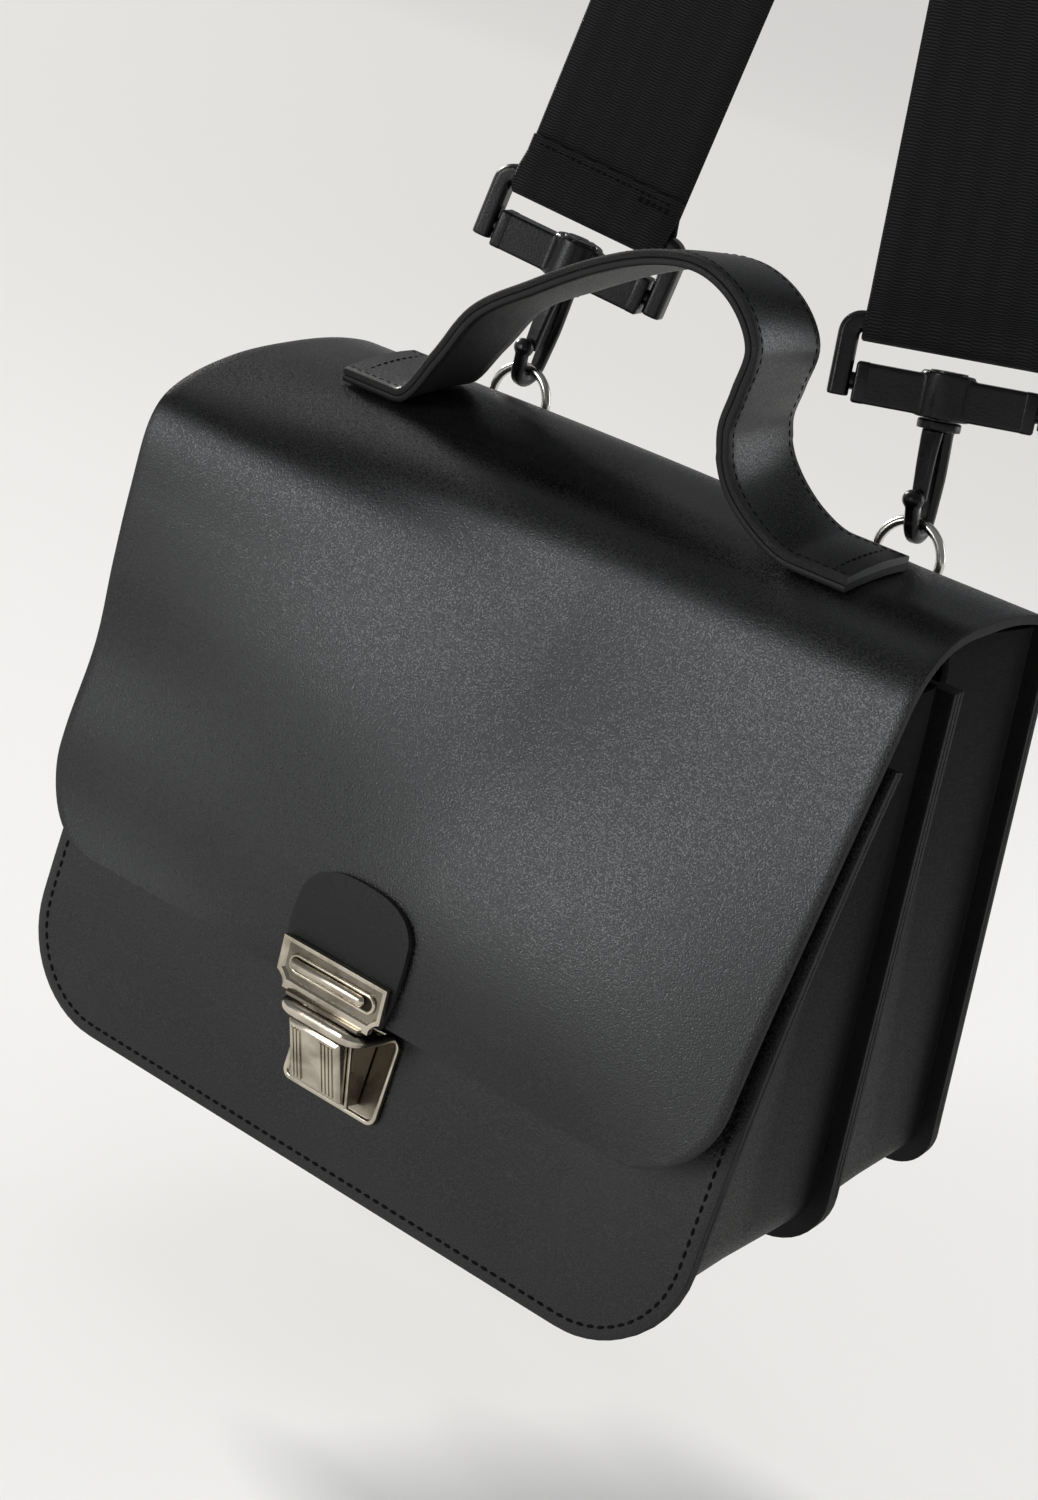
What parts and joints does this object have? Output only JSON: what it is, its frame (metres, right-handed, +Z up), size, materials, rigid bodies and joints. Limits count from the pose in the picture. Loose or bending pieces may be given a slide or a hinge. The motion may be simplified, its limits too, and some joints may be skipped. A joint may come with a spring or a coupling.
{
  "type": "satchel",
  "caption": "Leather satchel with a divided body, hinged front flap, push lock and top handle, hanging by snap hooks from a webbing shoulder strap.",
  "frame": {"origin": "underside of the webbing at the top of the strap, where it hangs on a peg", "axes": "+Z up, +X to the bag's right as seen from its front, front facing -Y"},
  "size_m": [0.238, 0.1506, 0.6472],
  "materials": {
    "leather": "finely grained black leather, low sheen",
    "lining_leather": "matt black leather",
    "webbing": "black ribbed webbing",
    "black_plastic": "moulded black plastic",
    "nickel": "antique nickel plate",
    "steel": "bright nickel wire"
  },
  "bodies": {
    "strap": {"strap_webbing": "webbing", "hook_bail_left": "black_plastic", "hook_bail_right": "black_plastic", "hook_crossbar_left": "black_plastic", "hook_crossbar_right": "black_plastic"},
    "hook_left": {"hook_left": "black_plastic"},
    "hook_right": {"hook_right": "black_plastic"},
    "gate_left": {"hook_gate_left": "black_plastic"},
    "gate_right": {"hook_gate_right": "black_plastic"},
    "d_rings": {"d_ring_left": "steel", "d_ring_right": "steel"},
    "bag": {"back_panel": "leather", "front_panel": "leather", "divider_panel": "lining_leather", "front_gusset": "leather", "rear_gusset": "leather", "ring_keeper_left": "leather", "ring_keeper_right": "leather", "lock_base_plate": "nickel", "lock_roll_bar": "nickel", "lock_housing": "nickel", "lock_backer": "nickel"},
    "flap_top": {"flap_top": "leather", "handle": "leather", "handle_lining": "lining_leather"},
    "flap_front": {"flap_front": "leather", "lock_tab": "leather", "strike_plate": "nickel", "strike_rib": "nickel", "strike_backer": "nickel"},
    "lock_button": {"lock_button": "nickel", "lock_catch": "steel"}
  },
  "joints": [
    {"name": "hook_swivel_left", "type": "hinge", "parent": "strap", "child": "hook_left", "pos_m": [-0.0685, 0, -0.43], "axis": [0.1321, 0, 0.9912], "range_deg": [-20, 20]},
    {"name": "gate_flex_left", "type": "hinge", "parent": "hook_left", "child": "gate_left", "pos_m": [-0.06523, -0.0029, -0.40542], "axis": [0.9912, 0, -0.1321], "range_deg": [0, 12], "stiffness_Nm_per_rad": 0.02},
    {"name": "hook_swivel_right", "type": "hinge", "parent": "strap", "child": "hook_right", "pos_m": [0.0685, 0, -0.43], "axis": [-0.1321, 0, 0.9912], "range_deg": [-20, 20]},
    {"name": "gate_flex_right", "type": "hinge", "parent": "hook_right", "child": "gate_right", "pos_m": [0.06523, -0.0029, -0.40542], "axis": [0.9912, 0, 0.1321], "range_deg": [0, 12], "stiffness_Nm_per_rad": 0.02},
    {"name": "ring_swing", "type": "hinge", "parent": "strap", "child": "d_rings", "pos_m": [0, 0, -0.43], "axis": [1, 0, 0], "range_deg": [0, 45]},
    {"name": "bag_swing", "type": "hinge", "parent": "d_rings", "child": "bag", "pos_m": [0, 0, -0.45], "axis": [1, 0, 0], "range_deg": [0, 60]},
    {"name": "flap_lift", "type": "hinge", "parent": "bag", "child": "flap_top", "pos_m": [0, -0.00581, -0.44224], "axis": [-1, 0, 0], "range_deg": [0, 25]},
    {"name": "flap_fold", "type": "hinge", "parent": "flap_top", "child": "flap_front", "pos_m": [0, -0.07612, -0.46252], "axis": [-1, 0, 0], "range_deg": [0, 150]},
    {"name": "button_push", "type": "slide", "parent": "bag", "child": "lock_button", "axis": [0, 0.9987, -0.0516], "range_m": [0, 0.0014], "stiffness_N_per_m": 800}
  ]
}
